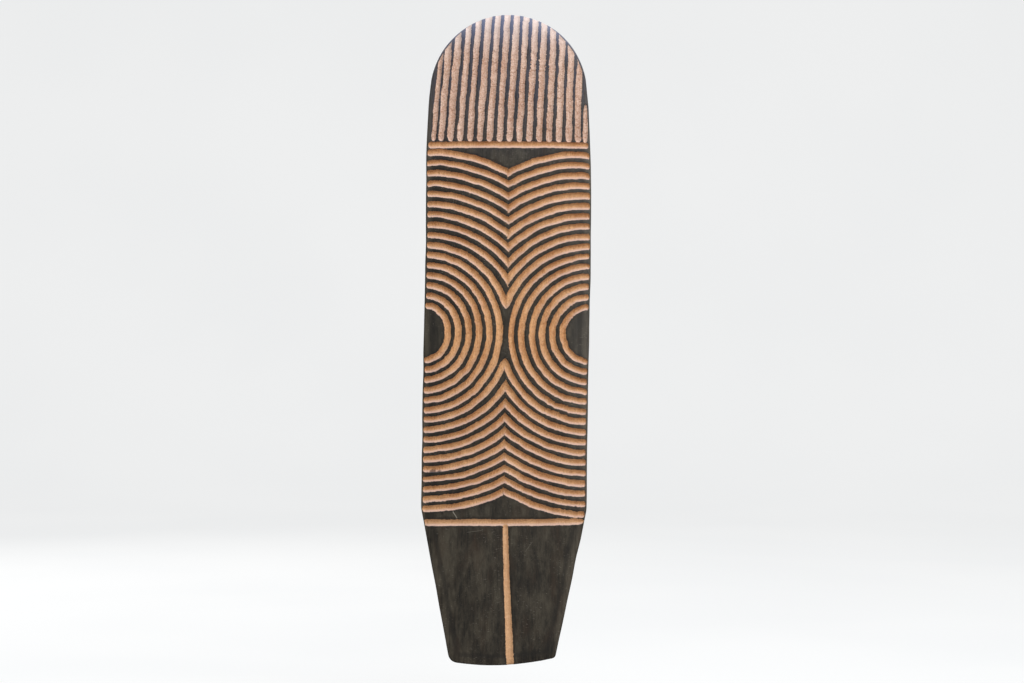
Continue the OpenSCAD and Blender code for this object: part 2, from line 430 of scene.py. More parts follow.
# %% Measure how far inside the outline a place is
fine_outline = walk(outline, 0.4)
fine_outward = outward(fine_outline)
outline_tree = kdtree.KDTree(len(fine_outline))
for index, (x, z) in enumerate(fine_outline):
    outline_tree.insert((x, z, 0), index)
outline_tree.balance()


def edge_distance(x, z):
    """Millimetres from each place in to the outline, less than 0 outside it."""
    found = [outline_tree.find((px, pz, 0)) for px, pz in zip(x, z)]
    nearest = np.array([index for _, index, _ in found])
    away = np.array([distance for _, _, distance in found])
    offset = np.column_stack([x, z]) - fine_outline[nearest]
    return np.where(np.sum(offset * fine_outward[nearest], axis=1) > 0, -away, away)


def board_half(z):
    """Half-width of the board at a height below the dome."""
    return np.interp(z, [0, TAIL_Z, SIDE_TOP_Z, NECK[1]], [TAIL_HALF - 1, SIDE_HALF, SIDE_HALF, NECK[0]])


def in_outline(x, z, gap):
    """Whether places lie inside the outline by at least gap millimetres."""
    under_dome = np.hypot(x, np.maximum(z - DOME_Z, 0)) < DOME_RADIUS - gap
    below = (z < DOME_Z) & (np.abs(x) < board_half(z) - gap)
    return (below | ((z >= DOME_Z) & under_dome)) & (z > foot_z(np.clip(x, -90, 90)) + gap)


def ease(value, low, high):
    """0 below low, 1 above high, smooth between."""
    part = np.clip((np.asarray(value, float) - low) / (high - low), 0, 1)
    return part * part * (3 - 2 * part)


# %% [markdown]
# ## The uncut surface
# Before any groove was cut, the front was planed to a slight crown across the board and its edges were
# rasped over: wide and deep round the dome, tight along the sides. Both are written as heights, so the
# grooves can later simply be taken off them.

# %% Work out the thickness before carving
CROWN_DROP = 4.0


def roll_over(z, inside):
    """How much the rounded edge takes off the front, inside millimetres in from the outline."""
    dome = ease(z, 790, 900)
    tail = ease(z, 250, 215)
    foot = ease(z, 40, 6)
    width = 8.5 + 14.5 * dome + 3.5 * tail - 4 * foot
    drop = 2.6 + 4.4 * dome + 0.9 * tail - 0.8 * foot
    part = np.clip(1 - inside / width, 0, 1)
    return drop * (1 - np.sqrt(np.clip(1 - part ** 2.2, 0, 1)))


def uncut(x, z, inside):
    """Thickness of the plank in millimetres, before the grooves."""
    return THICKNESS - CROWN_DROP * (x / HALF_WIDTH) ** 2 - roll_over(z, inside)


print("edge thickness at the side, the dome's top and the foot:",
      [round(float(uncut(x, z, 0.0)), 1) for x, z in ((HALF_WIDTH, 500), (0, HEIGHT), (0, 0))])

# %% [markdown]
# ## A gouge stroke
# A carver pushes a U-shaped gouge along a drawn line in short strokes, here 9 to 21 mm long.
# Each stroke starts a little to one side of the last, is a little wider or narrower, runs slightly
# deeper towards its end, and on a curve cuts the corner. So a groove is stored as its drawn line plus
# four tables along it: the sideways shift, the half-width towards each lip, and the depth. A place on
# the board is turned into "along" and "across" the drawn line, and the tables say how deep it is there.

# %% Describe one groove
TABLE_STEP = 0.5
LIP_ANGLE = math.radians(60)
STROKE = (9.0, 21.0)
PAST_LIP = 0.4
NEVER_PAST = -9.0
ROUGH_SPOTS = [
    # x, z, reach, how much rougher: places where the grain tore or the hand slipped
    (47, 930, 26, 2.2), (80, 402, 34, 1.7), (84, 560, 30, 1.2), (-96, 262, 30, 0.8), (100, 236, 30, 1.2),
]


def roughness_at(x, z):
    """1 on a calm stretch and more near the rough spots."""
    rough = np.ones_like(np.asarray(x, float))
    for spot_x, spot_z, reach, extra in ROUGH_SPOTS:
        rough += extra * ease(np.hypot(x - spot_x, z - spot_z), reach, reach * 0.3)
    return rough


def smoothed(values, reach):
    """Running average over about reach millimetres."""
    count = max(1, int(round(reach / TABLE_STEP)))
    padded = np.pad(values, (count, count), mode="edge")
    kernel = np.ones(count) / count
    return np.convolve(padded, kernel, mode="same")[count:-count]


class Groove:
    """A gouged groove. place(along, across) gives board x and z, and read(x, z) gives along and across."""

    def __init__(self, length, place, read, rng, width=9.8, depth=2.9, ends=(4.0, 4.0),
                 bend=0.0, wander=0.2, unsteady=1.0, flare=0.0, mitre=None):
        self.length, self.place, self.read, self.ends, self.mitre = length, place, read, ends, mitre
        count = int(length / TABLE_STEP) + 2
        self.marks = np.arange(count) * TABLE_STEP
        rough = roughness_at(*place(self.marks, np.zeros(count)))
        joints = [-rng.uniform(0, STROKE[1])]
        while joints[-1] < length:
            joints.append(joints[-1] + rng.uniform(*STROKE))
        stroke = np.searchsorted(joints, self.marks, side="right") - 1
        run = np.diff(joints)[np.minimum(stroke, len(joints) - 2)]
        part = np.clip((self.marks - np.array(joints)[stroke]) / run, 0, 1)
        shift = rng.normal(0, 0.16, len(joints))[stroke] * rough * unsteady
        wider = rng.normal(0, 0.13, (2, len(joints)))[:, stroke] * rough * unsteady
        corner_cut = bend * run ** 2 / 8 * ((2 * part - 1) ** 2 - 0.33)
        slow = wavering(count, length / 26, rng) * wander
        self.shift = smoothed(shift + corner_cut, 1.6) + slow
        chatter = smoothed(rng.normal(0, 0.3, count), 1.0), smoothed(rng.normal(0, 0.3, count), 1.0)
        spread = 0.035 * unsteady * wavering(count, length / 40, rng) + flare * (self.marks / length - 0.5)
        wide = width * (1 + spread)
        self.low, self.high = (
            wide / 2 + smoothed(wider[side], 1.6) + chatter[side] * rough for side in (0, 1)
        )
        plunge = rng.normal(0, 0.09, len(joints))[stroke] + 0.34 * (part - 0.5)
        ripple = 0.05 * np.sin(self.marks * 2 * math.pi / 2.6 + 2.0 * wavering(count, length / 9, rng))
        self.depth = depth * (1 + 0.05 * wavering(count, length / 30, rng)) + smoothed(plunge, 1.5) + ripple

    def squeeze(self, along):
        """How much of its width the round-ended groove keeps at along: 1 in the middle, 0 at an end."""
        share = np.ones_like(along)
        for reach, inward in ((self.ends[0], along), (self.ends[1], self.length - along)):
            if reach:
                part = np.clip(1 - inward / reach, 0, 1)
                share = np.minimum(share, (1 - part ** 2.3) ** (1 / 2.3))
        return share

    def section(self, along):
        """Shift, both half-widths and depth at along."""
        share = self.squeeze(along)
        shift, low, high, depth = (
            np.interp(along, self.marks, table) for table in (self.shift, self.low, self.high, self.depth)
        )
        return shift, low * share, high * share, depth * share ** 0.7

    def past_mitre(self, x):
        """How far x has passed the line where this groove stops against its twin from the other side."""
        if self.mitre is None:
            return np.full(np.shape(x), NEVER_PAST)
        side, line = self.mitre
        return side * (line - x)

    def cut(self, x, z):
        """Depth of the cut, distance inside the lip (negative outside) and place along, all in mm."""
        along, across = self.read(x, z)
        shift, low, high, depth = self.section(along)
        off = across - shift
        half = np.where(off < 0, low, high)
        part = np.abs(off) / np.maximum(half, 0.05)
        bowl = (np.sqrt(np.maximum(1 / math.sin(LIP_ANGLE) ** 2 - part ** 2, 0)) - 1 / math.tan(LIP_ANGLE))
        bowl /= 1 / math.sin(LIP_ANGLE) - 1 / math.tan(LIP_ANGLE)
        beyond = np.maximum(np.maximum(-along, along - self.length), 0)
        inside = half - np.abs(off)
        inside = np.where(beyond > 0, -np.hypot(beyond, np.maximum(-inside, 0)), inside)
        inside = np.minimum(inside, PAST_LIP - self.past_mitre(x))
        return np.where(inside > 0, depth * np.clip(bowl, 0, 1), 0), inside, along


GROOVES = []
print("a stroke is", STROKE[0], "to", STROKE[1], "mm long")

# %% [markdown]
# ## The rings
# Two sets of sixteen rings start at the middle of the side edges, like ripples from two stones. The
# first six are whole half rings. The others meet the rings of the other side in a V. The drawn circles
# were not quite true: the left set is squeezed sideways near its centre, the outer rings droop where
# they reach the edges, and below the middle they run a little tight.

# %% Draw the ring grooves
RING_CENTRE_Z = 510.0
RING_COUNT = 16
FIRST_RING = 40.0
RING_PITCH = 15.9
RIM = 1.6
FIRST_V_GAP = 38.0
mitre_lines = rng.normal(-0.4, 0.7, RING_COUNT)


def ring_radius(side, ring, angle):
    """Radius of a ring's drawn line at an angle up from level."""
    radius = FIRST_RING + RING_PITCH * ring
    small = 1 - min(ring / 6, 1)
    large = min(max((ring - 5) / 10, 0), 1)
    level, upright = np.cos(angle) ** 2, np.sin(angle) ** 2
    squeeze = (-3.5 + 0.8 * small) if side < 0 else 0.8
    shape = squeeze * level * (ring < 7) + (2.5 * small - 0.5) * upright
    from_edge = radius * np.cos(angle)
    droop_reach, droop = (22, 2.5) if side < 0 else (42, 5.0)
    upper = -droop * large * np.clip(1 - from_edge / droop_reach, 0, 1) ** 1.4
    near_edge = ease(from_edge, HALF_WIDTH, 10)
    tight = (4.5 + 2.5 * near_edge) if side < 0 else (4.5 - 3.5 * near_edge)
    return radius + shape + np.where(angle > 0, upper, -tight * large)


def add_ring(side, ring, rng):
    mean = FIRST_RING + RING_PITCH * ring
    mitre = mitre_lines[ring]
    overlap = 5.5 * min(HALF_WIDTH / mean, 1)

    def polar(angle, across):
        radius = ring_radius(side, ring, angle) + across
        return side * (HALF_WIDTH - radius * np.cos(angle)), RING_CENTRE_Z + radius * np.sin(angle)

    def keeps(angle):
        x, z = polar(angle, 0.0)
        rim = RIM + 0.8 * rng.random(2)
        on_board = np.abs(x) < board_half(z) - np.where(angle > 0, rim[0], rim[1])
        open_v = (ring != 6) | (np.abs(z - RING_CENTRE_Z) > FIRST_V_GAP)
        return on_board & (side * x > side * mitre - overlap) & open_v

    sweep_angles = np.linspace(-math.pi / 2, math.pi / 2, 4001)
    kept = keeps(sweep_angles)
    if ring < 6:
        runs = [(sweep_angles[kept][0], sweep_angles[kept][-1])]
    else:
        lower, upper = sweep_angles[kept & (sweep_angles < 0)], sweep_angles[kept & (sweep_angles > 0)]
        runs = [(lower[0], lower[-1]), (upper[0], upper[-1])]
    for first, last in runs:
        def place(along, across, first=first):
            return polar(first + along / mean, across)

        def read(x, z, first=first):
            angle = np.arctan2(z - RING_CENTRE_Z, HALF_WIDTH - side * x)
            radius = np.hypot(z - RING_CENTRE_Z, HALF_WIDTH - side * x)
            return (angle - first) * mean, radius - ring_radius(side, ring, angle)

        at_edge, at_mitre = 3.2, 14.0 if ring == 6 else 0.0
        ends = (at_edge, at_edge) if ring < 6 else ((at_edge, at_mitre) if first < 0 else (at_mitre, at_edge))
        GROOVES.append(Groove(
            (last - first) * mean, place, read, rng, ends=ends, bend=-0.8 / mean,
            width=rng.normal(9.7, 0.3), wander=0.3, mitre=(side, mitre) if ring > 5 else None,
        ))


for side in (-1, 1):
    for ring in range(RING_COUNT):
        add_ring(side, ring, rng)
print(len(GROOVES), "ring grooves")

# %% [markdown]
# ## The dome, the bars and the tail
# Seventeen upright grooves flute the dome and lean a little to the right. The outer ones are more tightly
# spaced and fade out at the rim, the last on the right ends in a point, and the middle ones run out over
# the top. A level groove closes the rings above and below, and one runs down the tail and out of the foot.

# %% Draw the straight grooves
UPPER_BAR_Z = 800.0
LOWER_BAR_Z = 219.5
DOME_BASE_Z = 804.6
DOME_PITCH = 15.2


def add_straight(start, end, rng, bow=0.0, **shape):
    """A groove along a straight line, or one that bows sideways by bow millimetres in its middle."""
    start, end = np.array(start, float), np.array(end, float)
    length = float(np.linalg.norm(end - start))
    ahead = (end - start) / length
    aside = np.array([ahead[1], -ahead[0]])

    def bowed(along):
        return bow * (1 - (2 * along / length - 1) ** 2)

    def place(along, across):
        sideways = across + bowed(along)
        return tuple(start[axis] + ahead[axis] * along + aside[axis] * sideways for axis in (0, 1))

    def read(x, z):
        along = (x - start[0]) * ahead[0] + (z - start[1]) * ahead[1]
        return along, (x - start[0]) * aside[0] + (z - start[1]) * aside[1] - bowed(along)

    GROOVES.append(Groove(length, place, read, rng, **shape))


for index in range(-8, 9):
    tuck = 1.3 * math.copysign(max(abs(index) - 6, 0) ** 2, index)
    lean = math.radians(3.0 - 0.244 * index - 0.0086 * index ** 2)
    base_x = 1.6 + DOME_PITCH * index - tuck
    base_z = DOME_BASE_Z + rng.normal(0, 0.4)
    last_x = base_x + 110 * math.tan(lean)
    past_rim = DOME_Z + math.sqrt(max(DOME_RADIUS ** 2 - (abs(last_x) - 6) ** 2, 0)) + 6
    top_z = 863 if index == 8 else past_rim
    add_straight(
        (base_x, base_z), (base_x + (top_z - base_z) * math.tan(lean), top_z), rng,
        width=rng.normal(9.7, 0.4) - (2.4 if abs(index) == 8 else 0), depth=2.6,
        ends=(7, 16 if index == 8 else 0), wander=0.07, unsteady=1.5,
    )

upper_reach = HALF_WIDTH - 4.0
add_straight((-upper_reach, UPPER_BAR_Z - 1.4), (upper_reach, UPPER_BAR_Z), rng, bow=-0.8, width=9.8)
add_straight((-HALF_WIDTH + 4.5, LOWER_BAR_Z - 1.5), (HALF_WIDTH - 3.4, LOWER_BAR_Z + 2.4), rng, bow=0.5,
             width=10.2, ends=(4.0, 15.0), wander=0.15)
add_straight((2.5, LOWER_BAR_Z - 2), (12.4, -4), rng, width=9.7, depth=2.7, ends=(0, 0),
             bow=0.8, wander=0.1, unsteady=0.7, flare=0.38)
carved = sum(groove.length for groove in GROOVES) / 1000
print(len(GROOVES), "grooves,", round(carved, 1), "metres of carving")

# %% [markdown]
# ## From grooves to a surface
# A plain grid fine enough for crisp lips would need millions of faces. Instead, the points are laid
# along the grooves: rows on and just outside the lips, a few across each bowl, and rows that follow
# the rounded edge, with a loose scatter on the uncut fields. A constrained triangulation then joins
# them and keeps every lip as an unbroken edge. The height of each point comes from one function, which
# takes the deepest of all the grooves that pass through it, just as successive cuts would.

# %% Work out the carved surface anywhere
LIP_ROUND = 0.45
LIP_DROP = 0.16
ALONG_GAP = 1000.0
REACH_MARGIN = 12.0


def rim_inset(x, z):
    """How far inside the outline a groove fades out: not at all over the dome's middle or at the foot."""
    dome = 4.6 * ease(np.abs(x), 30, 95) - 2.0
    rim = np.where(z > 815, dome, 1.3)
    return np.where((z < 30) & (np.abs(x) < 40), -5.0, rim)


def carve(x, z, inside):
    """Depth cut at each place, signed distance inside the nearest lip, and distance along that groove."""
    depth, lip, along = np.zeros(len(x)), np.full(len(x), -9.0), np.zeros(len(x))
    for number, groove in enumerate(GROOVES):
        box = groove.reach
        near = np.flatnonzero((x > box[0]) & (x < box[2]) & (z > box[1]) & (z < box[3]))
        if not len(near):
            continue
        cut, within, run = groove.cut(x[near], z[near])
        fade = inside[near] - rim_inset(x[near], z[near])
        cut *= ease(fade, 0, 1.6)
        within = np.where((fade < 2) & (within > 0), np.minimum(within, fade), within)
        depth[near] = np.maximum(depth[near], cut)
        better = within > lip[near]
        lip[near] = np.where(better, within, lip[near])
        along[near] = np.where(better, run + ALONG_GAP * number, along[near])
    worn = np.where(lip <= 0, LIP_DROP * np.clip(1 + lip / LIP_ROUND, 0, 1), LIP_DROP)
    return np.maximum(depth, worn), lip, along


for groove in GROOVES:
    middle_x, middle_z = groove.place(groove.marks, 0 * groove.marks)
    groove.reach = (
        middle_x.min() - REACH_MARGIN, middle_z.min() - REACH_MARGIN,
        middle_x.max() + REACH_MARGIN, middle_z.max() + REACH_MARGIN,
    )
sample = carve(np.array([0.0, 0.0]), np.array([LOWER_BAR_Z, 100.0]), np.array([90.0, 60.0]))
print("depth in the lower bar and on the bare tail:", np.round(sample[0], 2))

# %% [markdown]
# ## Points on the lips and in the bowls
# The points stand closer together where the surface turns: at a lip, at a groove's round end and at the
# V where two rings meet. Besides the outline, only the rows on the lips are joined into edges.

# %% Lay the points of the front
STATION = 1.8
ACROSS = (-1.0, -0.84, -0.5, 0.0, 0.5, 0.84, 1.0)
EDGE_ROWS = (0.5, 1.3, 2.6)
OPEN_EDGE_ROWS = (4.5, 7, 10, 14, 18, 23)
FIELD_STEP = 4.5
MERGE = 0.3
WELD = 1e-5
MITRE_STEPS = np.arange(0, 16, 0.5)

points, edges = [], []


def add_row(groove, x, z, joined):
    """Adds the points inside the outline and short of the mitre, linked into an edge if joined is set."""
    keep = (edge_distance(x, z) > 0.25) & (groove.past_mitre(x) < 0.1)
    before = None
    for px, pz, kept in zip(x, z, keep):
        if not kept:
            before = None
            continue
        points.append((px, pz))
        if joined and before is not None:
            edges.append((before, len(points) - 1))
        before = len(points) - 1


for loop_x, loop_z in outline:
    points.append((loop_x, loop_z))
count = len(outline)
edges.extend((index, (index + 1) % count) for index in range(count))

for groove in GROOVES:
    inner = np.linspace(0, groove.length, max(3, int(groove.length / STATION)))
    caps = [0.12, 0.35, 0.8]
    extra = [value for value in caps if groove.ends[0]]
    extra += [groove.length - value for value in caps if groove.ends[1]]
    stations = np.unique(np.concatenate([inner, extra]))
    lip_stations = stations
    if groove.mitre:
        close = [start + MITRE_STEPS for start in (0, groove.length - MITRE_STEPS[-1])]
        lip_stations = np.unique(np.concatenate([stations, *close]).clip(0, groove.length))
    for part in ACROSS:
        places = lip_stations if abs(part) == 1 else stations
        shift, low, high, depth = groove.section(places)
        half = low if part < 0 else high
        add_row(groove, *groove.place(places, shift + part * half), joined=abs(part) == 1)
    shift, low, high, depth = groove.section(stations)
    for sign, half in ((-1, low), (1, high)):
        add_row(groove, *groove.place(stations, shift + sign * (half + LIP_ROUND)), joined=False)
print(len(points), "points along the grooves,", len(edges), "lip edges")

# %% [markdown]
# ## Points between the grooves
# The fields between the grooves are nearly flat, so a loose, slightly shaken scatter is enough. Points
# that fall almost on each other are merged, because they would only give needle-thin faces.

# %% Fill the edge rows and the black fields
loop_out = outward(outline)
edge_rows = np.vstack([outline - loop_out * inset for inset in EDGE_ROWS])
open_rows = np.vstack([outline[::2] - loop_out[::2] * inset for inset in OPEN_EDGE_ROWS])
grid_x, grid_z = np.meshgrid(np.arange(-HALF_WIDTH, HALF_WIDTH, FIELD_STEP), np.arange(0, HEIGHT, FIELD_STEP))
field = np.column_stack([grid_x.ravel(), grid_z.ravel()]) + rng.uniform(-1.3, 1.3, (grid_x.size, 2))
field = field[in_outline(field[:, 0], field[:, 1], 3.5)]


def clear_of_grooves(places, gap):
    lip = carve(places[:, 0], places[:, 1], np.full(len(places), 50.0))[1]
    return places[lip < -gap]


for places in (edge_rows, clear_of_grooves(open_rows, 1.2), clear_of_grooves(field, 2.2)):
    points.extend(map(tuple, places))
cloud = np.array(points)
_, first, merged = np.unique(np.round(cloud[count:] / MERGE), axis=0, return_index=True, return_inverse=True)
merged = merged.ravel()
cloud = np.vstack([cloud[:count], cloud[count:][first]])
number = np.concatenate([np.arange(count), merged + count])
joined = {tuple(sorted((int(number[a]), int(number[b])))) for a, b in edges if number[a] != number[b]}
print(len(cloud), "points for the front")

# %% [markdown]
# ## Triangles
# The triangulation fills everything between the points, so it also bridges the hollows of the outline
# from outside. Those triangles run round the wrong way, which is how they are found and dropped.

# %% Triangulate the front


def without_slivers(triangles):
    """Drops triangles that bridge a hollow of the outline from outside: they run round the wrong way."""
    triangles = np.array([tuple(face) for face in triangles])
    a, b, c = triangles.T
    forward = ((a < b) & (b < c)) | ((b < c) & (c < a)) | ((c < a) & (a < b))
    return triangles[(triangles.max(axis=1) >= count) | forward]


flat_places, _, triangles, _, _, _ = delaunay_2d_cdt(
    [Vector(place) for place in cloud], sorted(joined), [], 1, WELD, False
)
front = np.array([tuple(place) for place in flat_places])
triangles = without_slivers(triangles)
front_inside = np.maximum(edge_distance(front[:, 0], front[:, 1]), 0)
front_depth, front_lip, front_along = carve(front[:, 0], front[:, 1], front_inside)
front_thickness = uncut(front[:, 0], front[:, 1], front_inside) - front_depth
print(len(front), "points and", len(triangles), "triangles on the front")

# %% [markdown]
# ## Sides and back
# The sides were rasped flat and their back edge broken with a few strokes, so the rows of points step
# down from the front edge, waver a little, and turn a small radius onto the back. The back is sawn wood:
# almost flat, with shallow saw and scraper marks that leave it full thickness where the hanger and the
# pads sit.

# %% Build the rows of the side and the back face
BACK_ARRIS = 1.4
SIDE_ROWS = 5
ARRIS_ROWS = 3
BACK_STEP = 7.0
SPOT_REACH = 14.0
FLAT_SPOTS = [(0.0, *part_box("hanger_strap"))]
for pad in ("left_wall_pad", "right_wall_pad"):
    pad_low, pad_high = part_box(pad)
    FLAT_SPOTS.append(((pad_low.x + pad_high.x) / 2 / MM, pad_low, pad_high))


def back_dent(x, z, inside):
    """Millimetres that the saw and the scraper took off the flat back."""
    saw = 0.10 * (1 + np.sin(z / 2.3 + 0.01 * x * np.sin(z / 60)))
    scrape = 0.16 * (1 + np.sin(x / 9 + 2.2 * np.sin(z / 130)))
    calm = np.zeros_like(x)
    for spot_x, low, high in FLAT_SPOTS:
        middle_z = ((low.z + high.z) / 2 - BOARD_BASE) / MM
        tall = (high.z - low.z) / 2 / MM
        away = np.hypot(x - spot_x, np.maximum(np.abs(z - middle_z) - tall + 8, 0))
        calm = np.maximum(calm, ease(away, SPOT_REACH + 8, SPOT_REACH))
    return (saw + scrape) * (1 - calm) * ease(inside, 0, 8)


def drift(z):
    """Sideways lean of the whole drawing: the plank bows a few millimetres to the right above its middle."""
    return 2.9 * np.exp(-(((z - 650) / 170) ** 2)) + 0.8 * ease(z, 840, 940)


edge_thickness = front_thickness[:count]
rows = []
for step in range(1, SIDE_ROWS + 1):
    share = step / SIDE_ROWS
    rasp = 0.14 * (1 + wavering(count, 90, rng, closed=True)) * math.sin(math.pi * min(share, 0.999))
    rows.append((outline - loop_out * np.clip(rasp, 0, 0.6)[:, None],
                 edge_thickness - (edge_thickness - BACK_ARRIS) * share))
for step in range(1, ARRIS_ROWS + 1):
    turn = math.pi / 2 * step / ARRIS_ROWS
    rows.append((outline - loop_out * BACK_ARRIS * (1 - math.cos(turn)),
                 np.full(count, BACK_ARRIS * (1 - math.sin(turn)))))

back_loop = rows[-1][0]
back_x, back_z = np.meshgrid(
    np.arange(-HALF_WIDTH, HALF_WIDTH, BACK_STEP), np.arange(0, HEIGHT, 1.7 * BACK_STEP / 2)
)
back_field = np.column_stack([back_x.ravel(), back_z.ravel()]) + rng.uniform(-1, 1, (back_x.size, 2))
back_field = back_field[in_outline(back_field[:, 0], back_field[:, 1], 6.0)]
back_cloud = np.vstack([back_loop, back_field])
ring_edges = [(index, (index + 1) % count) for index in range(count)]
back_flat, _, back_triangles, _, _, _ = delaunay_2d_cdt(
    [Vector(place) for place in back_cloud], ring_edges, [], 1, WELD, False
)
back_flat = np.array([tuple(place) for place in back_flat])
back_triangles = without_slivers(back_triangles)
back_inside = np.maximum(edge_distance(back_flat[:, 0], back_flat[:, 1]), 0)
print(len(back_triangles), "triangles on the back")

# %% [markdown]
# ## One closed board
# Front, sides and back share their border points, so the plank is one closed skin with no doubled edge.
# The finish needs to know where it is, so four measures are stored at each point: the distance to the
# nearest lip, the place along its groove, the distance to the outline, and how far round to the back.

# %% Join front, sides and back into one closed mesh
LIP_RANGE = (-3.0, 6.0)
side_start = len(front)
side_places = np.vstack([place for place, _ in rows[:-1]])
side_thickness = np.concatenate([thickness for _, thickness in rows[:-1]])
back_start = side_start + len(side_places)
all_x = np.concatenate([front[:, 0], side_places[:, 0], back_flat[:, 0]])
all_z = np.concatenate([front[:, 1], side_places[:, 1], back_flat[:, 1]])
back_thickness = back_dent(back_flat[:, 0], back_flat[:, 1], back_inside)
all_thickness = np.concatenate([front_thickness, side_thickness, back_thickness])

row_starts = [0] + [side_start + count * row for row in range(len(rows) - 1)] + [back_start]
here = np.arange(count)
following = (here + 1) % count
side_faces = np.concatenate([
    np.column_stack([a + here, b + here, b + following, a + following])
    for a, b in zip(row_starts, row_starts[1:])
])
all_x = all_x + drift(all_z)
faces = triangles.tolist() + side_faces.tolist() + (back_triangles[:, ::-1] + back_start).tolist()
board_mesh = bpy.data.meshes.new("carved_board")
board_mesh.from_pydata(to_frame(all_x, all_z, all_thickness).tolist(), [], faces)
board_mesh.polygons.foreach_set("use_smooth", [True] * len(board_mesh.polygons))


def point_attribute(mesh, name, values):
    mesh.attributes.new(name, "FLOAT", "POINT").data.foreach_set("value", np.asarray(values, np.float32))


side_count = len(side_places)
back_count = len(back_flat)
round_the_edge = np.repeat(np.linspace(0, 1, len(rows) + 1)[1:-1], count)
elsewhere = np.zeros(side_count + back_count)
for name, values in (
    ("lip", (np.clip(front_lip, *LIP_RANGE), elsewhere + LIP_RANGE[0])),
    ("along", (front_along, elsewhere)),
    ("edge", (front_inside, np.zeros(side_count), back_inside)),
    ("behind", (np.zeros(len(front)), round_the_edge, np.ones(back_count))),
):
    point_attribute(board_mesh, name, np.concatenate(values))
board_mesh.validate()
check = bmesh.new()
check.from_mesh(board_mesh)
open_edges = sum(not edge.is_manifold for edge in check.edges)
litres = check.calc_volume() / MM ** 3 / 1e6
print(f"{len(board_mesh.polygons)} faces, {open_edges} open edges, {litres:.2f} litres")
check.free()

# %% [markdown]
# ## The board's map
# A map given here wastes less than an automatic one: the front gets most of the width, the back a narrow
# copy, and the long side band is cut into three strips that lie beside them.

# %% Lay out the board's map
FRONT_STRIP = (0.01, 0.63)
BACK_STRIP = (0.65, 0.85)
SIDE_STRIPS = (0.87, 0.042, 0.034)


def lay_out_board(mesh):
    """One flat map: front and back as seen, and the side band in three upright strips."""
    layer = mesh.uv_layers.new(name="OFBake")
    corners = np.zeros(len(mesh.loops), np.int64)
    mesh.loops.foreach_get("vertex_index", corners)
    x, z = all_x[corners] - drift(all_z[corners]), all_z[corners]
    u = np.empty(len(corners))
    v = 0.005 + 0.99 * z / HEIGHT
    front_corners = 3 * len(triangles)
    side_corners = front_corners + 4 * len(side_faces)
    span = 2 * HALF_WIDTH + 6
    flat_parts = (slice(0, front_corners), FRONT_STRIP), (slice(side_corners, None), BACK_STRIP)
    for part, (low, high) in flat_parts:
        u[part] = low + (high - low) * (x[part] + span / 2) / span
    face = np.arange(len(side_faces))
    row, place = face // count, face % count
    third = count / 3
    strip = (place // third).astype(int)
    start, step, wide = SIDE_STRIPS
    for corner, (down, ahead) in enumerate(((0, 0), (1, 0), (1, 1), (0, 1))):
        index = front_corners + 4 * face + corner
        u[index] = start + step * strip + wide * (row + down) / len(rows)
        v[index] = 0.005 + 0.99 * (place + ahead - strip * third) / third
    layer.data.foreach_set("uv", np.column_stack([u, v]).ravel().astype(np.float32))


lay_out_board(board_mesh)
board = bpy.data.objects.new("carved_board", board_mesh)
scene.collection.objects.link(board)
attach(board, "board")
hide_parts("board")

# %% [markdown]
# ## Stained and bare wood
# One material covers the whole plank, and the distance to the nearest lip decides which of two finishes
# shows. Uncut wood carries a thin black stain that lets the upright grain through, sits thicker in some
# streaks than others and has worn off a little at the edges. Cut wood is pale and dry: long fibres, dark
# pores, fine ripples left by the gouge, and on every ledge that faces up a pale tone that is partly dust
# and partly a painted highlight. Painted shade and painted reflections of the lamps are mixed in as well.

# %% Start the board's finish
wood = Finish("stained_wood", Specular_IOR_Level=0.33)
lip, along, edge, behind = (wood.attribute(name) for name in ("lip", "along", "edge", "behind"))
fibre = wood.noise(1.1, 26, detail=4)
hair = wood.noise(0.45, 9, detail=2)
streak = wood.noise(5, 140, detail=3)
blotch = wood.noise(30, 55, detail=3)
speck = wood.noise(1.3, 2.6, detail=2)
grit = wood.noise(0.5, detail=1)
pore = wood.noise(0.55, 4.5, detail=1).between(0.66, 0.74)
ragged = (speck - 0.5) * 1.2 + (grit - 0.5) * 0.5
bare = (lip + ragged).between(-0.06, 0.16)
across_place = wood.axis(wood.place, 0) * (1 / MM)
up_place = (wood.axis(wood.place, 2) - BOARD_BASE) * (1 / MM)
facing_up = wood.axis(wood.node("NewGeometry", out=1), 2)


def wave(run, pitch, warp):
    """A sine every pitch millimetres along run, pushed to and fro by the blotches."""
    return wood.node("Math", {"operation": "SINE"}, {0: run * (2 * math.pi / pitch) + blotch * warp})


def near_line(x1, z1, x2, z2, wide):
    """1 on a scratch from one place on the board to another and 0 beyond its ragged edges."""
    run_x, run_z = x2 - x1, z2 - z1
    from_x, from_z = across_place - x1, up_place - z1
    part = (from_x * run_x + from_z * run_z) * (1 / (run_x ** 2 + run_z ** 2))
    part = wood.node("Clamp", {}, {0: part})
    off_x, off_z = from_x - part * run_x, from_z - part * run_z
    off = wood.node("Math", {"operation": "SQRT"}, {0: off_x * off_x + off_z * off_z})
    return (off + (speck - 0.5) * wide).between(wide, wide * 0.4)
